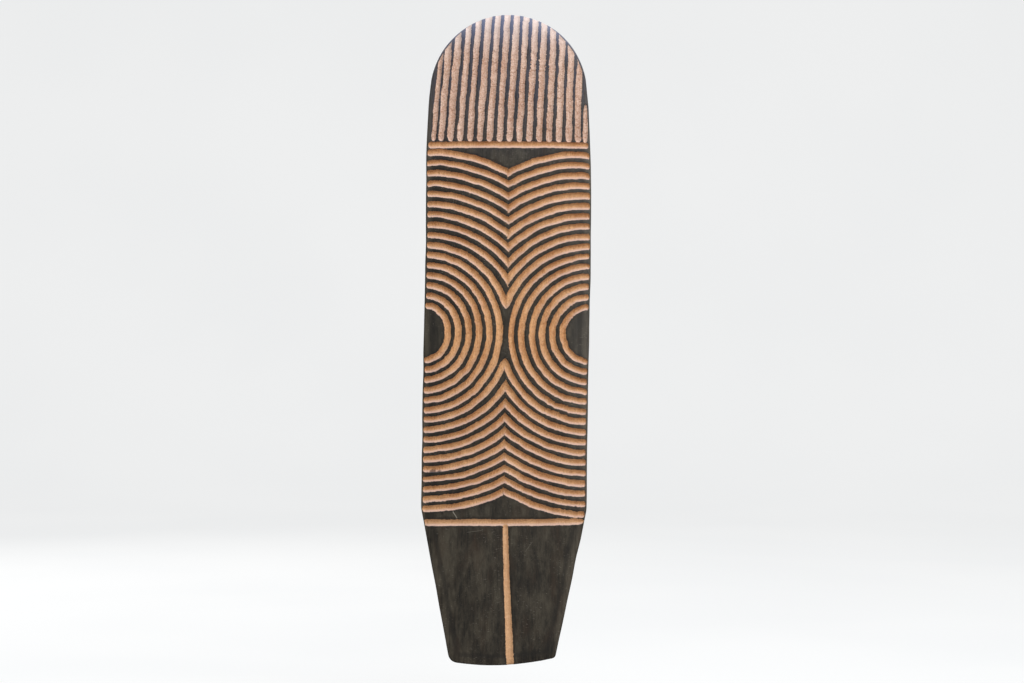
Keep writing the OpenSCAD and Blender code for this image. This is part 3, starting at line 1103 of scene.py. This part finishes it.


# %% [markdown]
# ## Bare wood
# The cut wood is warm in the rings, paler in the dome and palest at its top, where the extra pale is a
# painted highlight. Over that lie, in this order, grit, pores, torn spots, pale hairs, the line where one
# stroke stops and the next begins, painted shade on the upper walls, a paler tail groove, pale dust with a
# painted highlight on the ledges, the painted highlight at the top and a pair of knots.

# %% Mix the bare wood
STROKE_BEAT = 16
wood_tone = (fibre * 0.7 + blotch * 0.6 + streak * 0.3 + speck * 0.9).between(0.9, 1.6)
dome_share = up_place.between(802, 809)
# Painted highlight: the wood is paler towards the top, and the stain gets a cool painted reflection there.
top_highlight = up_place.between(900, 990)
top_highlight = top_highlight * top_highlight
low = up_place.between(430, 330)
mottle = wood.noise(2.6, 3.6, detail=3, roughness=0.7).between(0.48, 0.66)
warm = wood.mix(wood_tone, srgb(184, 122, 71), srgb(234, 182, 130))
pale = wood.mix(wood_tone, srgb(184, 140, 115), srgb(234, 206, 188))
pale = wood.mix(mottle * 0.5, pale, srgb(190, 134, 100))
torn = wood.noise(4.5, 0.8, detail=1).between(0.6, 0.67) * (dome_share * 0.5 + 0.25)
beat = wave(along + lip * 0.7, STROKE_BEAT, 16)
joint = beat.between(0.965, 0.995) * wood.noise(12, detail=1).between(0.4, 0.55)
# Pale dust on ledges that face up, brightened further by a painted highlight from the top lamp.
dust_and_highlight = facing_up.between(-0.05, 0.65)
knots = near_line(-112, 296, -108, 297, 4.5).above(near_line(-101, 296, -99, 297, 2.8))
cut_wood = wood.coated(
    wood.mix(dome_share, warm, pale),
    (grit.between(0.55, 0.75) * 0.3, srgb(140, 92, 60)),
    (pore * 0.75, srgb(104, 60, 38)),
    (torn, srgb(140, 84, 54)),
    (hair.between(0.55, 0.8) * 0.35, srgb(238, 210, 186)),
    (joint * (dome_share * 0.35 + 0.2), srgb(120, 70, 42)),
    # painted shade on the walls that face down, weaker low on the board
    (facing_up.between(-0.05, -0.8) * (0.5 - low * 0.4), srgb(146, 84, 42)),
    (up_place.between(242, 205) * 0.4, srgb(226, 186, 148)),
    # pale dust and a painted highlight on ledges that face up
    (dust_and_highlight * 0.65, srgb(204, 178, 168)),
    # painted highlight: the cut wood paler towards the top
    (top_highlight * 0.5, srgb(242, 230, 228)),
    (knots * 0.8, srgb(74, 46, 30)),
)
print("bare wood mixed, with a stroke joint about every", STROKE_BEAT, "mm")

# %% [markdown]
# ## Black stain
# The stain was brushed on in uneven coats. Brown shows where it is thin and a grey cloud lies on the open
# fields; painted shade darkens the left side of the rings and painted light makes their right edge paler.
# Then come the wear at the rolled edge and the lips, chips and scratches, a cool painted reflection of the
# top lamp that grows towards the top, and a painted sheen on faces that look up.

# %% Mix the stained wood
stain_tone = (streak * 0.6 + fibre * 0.8 + blotch * 0.5 + speck * 0.3).between(0.75, 1.4)
brown = wood.noise(22, 70, detail=3).between(0.5, 0.72)
open_field = lip.between(-1.4, -2.9)
cloud = wood.noise(16, 40, detail=5, roughness=0.7).between(0.36, 0.7) * (0.4 + fibre * 0.9)
ringed = up_place.between(215, 260) * up_place.between(802, 780)
rolled = (edge + (streak - 0.5) * 12).between(13, 5) * streak.between(0.35, 0.6) * up_place.between(12, 45)
frayed_edge = edge + (streak - 0.5) * 8
shade = frayed_edge.between(9, 13) * frayed_edge.between(20, 15)
edge_wear = edge.between(7, 1.0) * behind.between(0.6, 0.2) * fibre.between(0.4, 0.75)
lip_wear = (lip + ragged * 2).between(-1.0, -0.1) * speck.between(0.5, 0.8)
ticks = wood.noise(5, 0.5, detail=1).between(0.69, 0.76) * blotch.between(0.4, 0.6)
chips = (lip + ragged).between(-1.6, -0.2) * wood.noise(1.6, 1.0, detail=2).between(0.64, 0.7)
ticks = ticks.above(chips * 0.7)
scratch = near_line(-78, 235, -72, 226, 0.9).above(near_line(-56, 204, -34, 207, 0.35) * 0.5)
scratch = scratch.above(near_line(34, 176, 44, 190, 0.35) * 0.4)
# painted reflection of the cool top lamp on the stain, growing towards the top
stain_reflection_and_rubber_bloom = up_place.between(740, 970) * fibre.between(0.3, 0.6)
# painted sheen of the top lamp on stained faces that look up
sheen = facing_up.between(0.12, 0.7) * behind.between(0.5, 0.1)
stain = wood.coated(
    wood.mix(stain_tone, srgb(9, 7, 4), srgb(47, 40, 30)),
    (brown * 0.5, srgb(58, 42, 28)),
    (cloud * (0.22 + open_field * 0.55), srgb(82, 75, 62)),
    # painted shade on the left of the rings, and painted light on their right edge
    (across_place.between(10, -110) * ringed * 0.45, srgb(8, 6, 3)),
    (across_place.between(85, 118) * ringed * 0.25, srgb(96, 92, 86)),
    (rolled * 0.45, srgb(92, 84, 72)),
    (shade * 0.5, srgb(20, 16, 12)),
    (edge_wear * 0.4, srgb(112, 102, 90)),
    (lip_wear * 0.4, srgb(118, 86, 62)),
    (ticks.above(scratch) * 0.6, srgb(168, 160, 146)),
    # painted reflections of the cool top lamp: over the upper stain, bluest at the very top, and on faces
    # that look up
    (stain_reflection_and_rubber_bloom * 0.5, srgb(82, 86, 108)),
    (top_highlight * top_highlight * behind.between(0.6, 0.2) * 0.45, srgb(124, 134, 170)),
    (sheen * 0.5, srgb(112, 116, 138)),
)
print("stain mixed, with", len(wood.tree.nodes), "nodes so far")

# %% [markdown]
# ## Raw back, and the whole finish
# The back was never stained, but the brush ran over its edge in an uneven line. The relief is shallow:
# in a groove the gouge's ripples, fibres and pores, and on the stain mostly the raised grain.

# %% Mix the raw back and put the board's finish together
RIPPLE_PITCH = 2.1
raw_tone = (fibre + streak).between(0.7, 1.35)
raw = wood.mix(raw_tone, srgb(134, 96, 64), srgb(190, 150, 112))
raw = wood.mix(pore * 0.6, raw, srgb(92, 58, 38))
ran_over = edge - wood.noise(60, 130, detail=2) * 20 - fibre * 4
lapped = ran_over.between(1.5, -1.5).above((ran_over - fibre * 18).between(4, -6) * 0.55)
back_cover = behind.between(0.9, 0.97) * (1 - lapped)
uncut_wood = wood.mix(back_cover, stain, raw)

ripple = wave(along, RIPPLE_PITCH, 30)
cut_relief = ripple * 0.35 + fibre * 0.8 + grit * 0.5 + speck * 0.5 - pore * 0.8 - joint
stain_relief = fibre * 0.9 + hair * 0.5 + streak * 0.4 + speck * 0.3 - scratch
relief = bare * cut_relief * 0.28 + (1 - bare) * stain_relief * 0.16
board_mesh.materials.append(wood.feed(
    Base_Color=wood.mix(bare, uncut_wood, cut_wood),
    Roughness=0.5 + bare * 0.06 + (fibre - 0.5) * 0.25 + back_cover * 0.2,
    Normal=wood.bump(relief, 1.0),
))
print("the board's finish has", len(wood.tree.nodes), "nodes")

# %% [markdown]
# ## Turned, swept and punched shapes
# The hanger's pieces come off simple machines: wire is bent, sheet is folded and punched, screws and pads
# are turned or moulded round an axis. So a few short helpers are enough: a skin through a row of loops,
# loops turned round an axis that points away from the board's back, and a cut with one or more punches.

# %% Write the shape helpers


def skin(loops):
    """Vertices and faces of a closed skin through loops of equal length, with a flat face on each end."""
    count, last = len(loops[0]), (len(loops) - 1) * len(loops[0])
    faces = [tuple(range(count)), tuple(range(last, last + count))]
    for start in range(0, last, count):
        for corner in range(count):
            beside = (corner + 1) % count
            faces.append((start + corner, start + beside, start + count + beside, start + count + corner))
    return [place for loop in loops for place in loop], faces


def turned(profile, x, z, steps=48):
    """Loops round the axis at (x, z) that points along +Y, from (radius, y) pairs."""
    turns = np.linspace(0, 2 * math.pi, steps, endpoint=False)
    return [
        [(x + radius * math.cos(turn), y, z + radius * math.sin(turn)) for turn in turns]
        for radius, y in profile
    ]


def shape(name, *skins):
    """An object made of one or more closed skins, given in millimetres in the frame."""
    build = bmesh.new()
    for vertices, faces in skins:
        made = [build.verts.new(Vector(place) * MM) for place in vertices]
        for face in faces:
            build.faces.new([made[corner] for corner in face])
    bmesh.ops.recalc_face_normals(build, faces=build.faces)
    mesh = bpy.data.meshes.new(name)
    build.to_mesh(mesh)
    build.free()
    piece = bpy.data.objects.new(name, mesh)
    scene.collection.objects.link(piece)
    return piece


def worked(piece, punches=(), soften=0.0, sharper_than=35):
    """Cuts the punches out, rounds the sharp edges by soften millimetres, and shades round faces smoothly."""
    for punch in punches:
        cut = piece.modifiers.new(punch.name, "BOOLEAN")
        cut.operation, cut.solver, cut.object = "DIFFERENCE", "EXACT", punch
    if soften:
        ease_edges = piece.modifiers.new("soften", "BEVEL")
        ease_edges.width, ease_edges.segments = soften * MM, 2
        ease_edges.limit_method, ease_edges.angle_limit = "ANGLE", math.radians(40)
    ready = piece.evaluated_get(bpy.context.evaluated_depsgraph_get())
    rough, piece.data = piece.data, bpy.data.meshes.new_from_object(ready)
    bpy.data.meshes.remove(rough)
    piece.modifiers.clear()
    for punch in punches:
        bpy.data.meshes.remove(punch.data)
    piece.data.shade_smooth()
    piece.data.set_sharp_from_angle(angle=math.radians(sharper_than))
    return piece


def fit(piece, body, node, finish):
    piece.data.materials.clear()
    piece.data.materials.append(finish)
    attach(piece, body)
    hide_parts(node)
    print(piece.name, "has", len(piece.data.polygons), "faces")


# %% [markdown]
# ## The folded strap
# One strip of zinc-plated sheet, a millimetre thick, is folded double round the ring's bar. The inner leaf
# lies flat on the board, the fold is the eye, and the outer leaf bends back on to the inner one just below
# it. Two holes go through both leaves, and both ends are clipped round.

# %% Fold and punch the strap
BACK = BACK_Y / MM
BAR_Z = -15.75
STRAP_HALF = 7.0
STRAP_END_Z = BAR_Z - 34
SHEET = 0.97
INNER_LEAF_Y = BACK + 0.5
OUTER_LEAF_Y = BACK + 2 - SHEET / 2
SCREW_ZS = (BAR_Z - 8.5, BAR_Z - 26)

round_end = [STRAP_END_Z + STRAP_HALF * (1 - math.sin(math.radians(turn))) for turn in range(84, -1, -7)]
eye_radius, fold = -INNER_LEAF_Y, math.radians(60)
path = [(INNER_LEAF_Y, z, 0.0) for z in round_end]
for turn in np.linspace(math.pi, -fold, 30):
    path.append((eye_radius * math.cos(turn), BAR_Z + eye_radius * math.sin(turn), math.pi - turn))
back_bend = 1.5
bend_y = OUTER_LEAF_Y + back_bend
bend_z = path[-1][1] - (path[-1][0] - OUTER_LEAF_Y - back_bend * (1 - math.cos(fold))) / math.tan(fold)
bend_z -= back_bend * math.sin(fold)
for turn in np.linspace(math.pi - fold, math.pi, 8):
    y, z = bend_y + back_bend * math.cos(turn), bend_z + back_bend * math.sin(turn)
    path.append((y, z, 2 * math.pi - turn))
path += [(OUTER_LEAF_Y, z, math.pi) for z in reversed(round_end)]

band = []
for y, z, heading in path:
    beyond = max(STRAP_END_Z + STRAP_HALF - z, 0)
    half = math.sqrt(max(STRAP_HALF ** 2 - beyond ** 2, 0.01))
    side_y, side_z = -SHEET / 2 * math.cos(heading), SHEET / 2 * math.sin(heading)
    band.append([
        (-half, y + side_y, z + side_z), (half, y + side_y, z + side_z),
        (half, y - side_y, z - side_z), (-half, y - side_y, z - side_z),
    ])
strap = shape("strap", skin(band))
holes = [shape("hole_punch", skin(turned([(1.9, BACK - 2), (1.9, BACK + 4)], 0, z))) for z in SCREW_ZS]
worked(strap, holes, soften=0.16)
sheet_length = sum(math.dist(a[:2], b[:2]) for a, b in zip(path, path[1:]))
print("the sheet is", round(sheet_length, 1), "mm long before folding")

# %% [markdown]
# ## The ring and the screws
# The ring is a length of drawn steel wire bent to a D, with its two ends butted inside the strap's eye.
# The screws have a pan head with a cross recess and a helical thread that bites into the plank.

# %% Bend the ring
WIRE = 1.25
RING_HALF = 12.75
RING_CORNER = 3.0
CROWN_Z = -11.5
BUTT_GAP = 0.12

corner_x, corner_z = RING_HALF - RING_CORNER, BAR_Z + RING_CORNER
right_half = [(x, BAR_Z, 0.0) for x in (BUTT_GAP, BUTT_GAP + 0.2, corner_x * 0.5)]
for turn in np.linspace(0, math.pi / 2, 10):
    x, z = corner_x + RING_CORNER * math.sin(turn), corner_z - RING_CORNER * math.cos(turn)
    right_half.append((x, z, turn))
for turn in np.linspace(0, math.pi / 2, 28):
    right_half.append((RING_HALF * math.cos(turn), CROWN_Z + RING_HALF * math.sin(turn), math.pi / 2 + turn))
ring_path = right_half + [(-x, z, 2 * math.pi - heading) for x, z, heading in reversed(right_half[:-1])]
wire = []
for number, (x, z, heading) in enumerate(ring_path):
    radius = WIRE * (0.9 if number in (0, len(ring_path) - 1) else 1)
    wire.append([
        (x - radius * math.cos(turn) * math.sin(heading), radius * math.sin(turn),
         z + radius * math.cos(turn) * math.cos(heading))
        for turn in np.linspace(0, 2 * math.pi, 28, endpoint=False)
    ])
ring = worked(shape("ring", skin(wire)))

# %% [markdown]
# ## Screws with a real thread
# A thread is a ridge that climbs as it turns. Each loop of the shank is a circle that swells where the
# ridge passes, so a row of loops makes the helix, and the loops of the head close it.

# %% Turn the screws
HEAD_Y = BACK + 2
HEAD = [
    (3.42, 0.0), (3.5, 0.12), (3.5, 0.66), (3.36, 1.1), (3.08, 1.5), (2.5, 1.84), (1.92, 2.05),
    (1.0, 2.17), (0.02, 2.2),
]
CORE = 1.2
CREST = 1.75
THREAD_PITCH = 1.4
SCREW_LENGTH = 16.0


def screw(z, first_turn):
    """Loops of a screw from its point to the middle of its head."""
    turns = np.linspace(0, 2 * math.pi, 28, endpoint=False)
    loops = []
    for depth in np.arange(SCREW_LENGTH - 0.1, 0, -0.2):
        taper = min((SCREW_LENGTH - depth) / 3.2, 1)
        bite = ease(np.array([depth]), 2.6, 3.6)[0] * taper
        ridge = np.abs(((depth / THREAD_PITCH - turns / (2 * math.pi) + first_turn) % 1) - 0.5) * 2
        radius = CORE * taper + (CREST - CORE) * bite * np.clip(1.6 * ridge - 0.6, 0, 1)
        loops.append([
            (r * math.cos(turn), HEAD_Y - depth, z + r * math.sin(turn)) for r, turn in zip(radius, turns)
        ])
    return loops + turned([(radius, HEAD_Y + rise) for radius, rise in HEAD], 0, z, 28)


def cross_punch(z, quarter):
    """One arm of the cross recess, narrower at its bottom than at its mouth."""
    arm = Matrix.Rotation(quarter, 3, "Y")
    corners = [(-2.0, -0.42), (2.0, -0.42), (2.0, 0.42), (-2.0, 0.42)]
    loops = []
    for rise, shrink in ((0.75, 0.62), (2.6, 1.1)):
        loops.append([
            tuple(arm @ Vector((x * shrink, HEAD_Y + rise, w * shrink)) + Vector((0, 0, z)))
            for x, w in corners
        ])
    return shape("cross_punch", skin(loops))


slots = [(z, turn) for z, first in zip(SCREW_ZS, (0.35, 1.02)) for turn in (first, first + math.pi / 2)]
screws = shape("screws", *(skin(screw(z, start)) for z, start in zip(SCREW_ZS, (0.0, 0.4))))
worked(screws, [cross_punch(z, turn) for z, turn in slots], sharper_than=38)

# %% [markdown]
# ## The wall pads
# Two moulded rubber bumpers, each with a thin foot a little smaller than itself, keep the tail level with
# the hanger and let air pass behind the plank.

# %% Turn the pads
PAD_X, PAD_Z = 56.0, BOARD_BASE / MM + 62
PAD_RADIUS, PAD_HEIGHT, PAD_RIM = 8.0, 5.0, 3.2
pad_profile = [(0.02, 0), (7.6, 0), (7.6, 0.4), (7.85, 0.42), (8.0, 0.6), (8.0, PAD_HEIGHT - PAD_RIM)]
for turn in np.linspace(0, math.pi / 2, 12)[1:]:
    radius = PAD_RADIUS - PAD_RIM + PAD_RIM * math.cos(turn)
    pad_profile.append((radius, PAD_HEIGHT - PAD_RIM + PAD_RIM * math.sin(turn)))
pad_profile += [(1.6, PAD_HEIGHT), (1.2, PAD_HEIGHT - 0.12), (0.02, PAD_HEIGHT - 0.2)]
pads = {}
for name, x in (("left_wall_pad", -PAD_X), ("right_wall_pad", PAD_X)):
    loops = turned([(radius, BACK + rise) for radius, rise in pad_profile], x, PAD_Z, 56)
    pads[name] = worked(shape(name.replace("wall_", ""), skin(loops)), sharper_than=50)

# %% [markdown]
# ## Zinc, wire and rubber
# The zinc plating shows faint crystals, smudges and a yellow passivation film, and rust starts in a few
# spots. The wire keeps the fine lines of the die that drew it. The rubber is matt, slightly pebbled
# by its mould, and greyer where dust has settled.

# %% Finish the metal and the rubber


def plated(name, dark, light, crystal, shine):
    """Plated or drawn steel: crystals or die lines, smudges, hairline scratches and a few specks of rust."""
    metal = Finish(name, Specular_IOR_Level=0.5)
    grains = metal.node("TexVoronoi", {}, {"Vector": metal.stretched(crystal, crystal), "Scale": 1.0}, out=1)
    grain = metal.axis(grains, 0)
    smudge = metal.noise(5, detail=4)
    line = metal.noise(0.12, 7, detail=2).between(0.6, 0.75)
    rust = (metal.noise(0.9, detail=4) + metal.noise(9) * 0.6).between(1.02, 1.1)
    film = metal.noise(11, 16, detail=2).between(0.5, 0.7)
    bright = metal.mix(grain * 0.4 + smudge * 0.6, srgb(*dark), srgb(*light))
    return metal.feed(
        Base_Color=metal.coated(bright, (film * 0.25, srgb(184, 166, 118)), (rust, srgb(112, 66, 38))),
        Metallic=0.95 - rust * 0.8,
        Roughness=shine + smudge * 0.22 + line * 0.12 + rust * 0.4,
        Normal=metal.bump(grain * 0.25 - line + rust * 1.5 + smudge * 0.3, 0.03),
    )


rubber = Finish("pad_rubber", Specular_IOR_Level=0.35)
pebble = rubber.noise(0.35, detail=2)
stain_reflection_and_rubber_bloom = rubber.noise(4, detail=4)
outward_face = rubber.axis(rubber.node("NewGeometry", out=1), 1)
settled = stain_reflection_and_rubber_bloom.between(0.35, 0.7) * 0.5 + outward_face.between(0.85, 1.0) * stain_reflection_and_rubber_bloom.between(0.3, 0.6) * 0.4
rubber_black = rubber.feed(
    Base_Color=rubber.mix(settled, srgb(34, 34, 36), srgb(84, 82, 78)),
    Roughness=0.52 + stain_reflection_and_rubber_bloom * 0.3,
    Normal=rubber.bump(pebble + stain_reflection_and_rubber_bloom * 0.5, 0.06),
)

for piece, body, node, finish, dark, light, crystal, shine in (
    (strap, "board", "hanger_strap", "zinc_plated_strap", (138, 140, 140), (202, 202, 196), 2.4, 0.26),
    (ring, "ring", "hanging_ring", "steel_wire", (140, 141, 142), (188, 189, 190), 0.5, 0.2),
    (screws, "board", "hanger_screws", "screw_steel", (150, 148, 138), (206, 204, 192), 0.8, 0.22),
):
    fit(piece, body, node, plated(finish, dark, light, crystal, shine))
for node, pad in pads.items():
    fit(pad, "board", node, rubber_black)
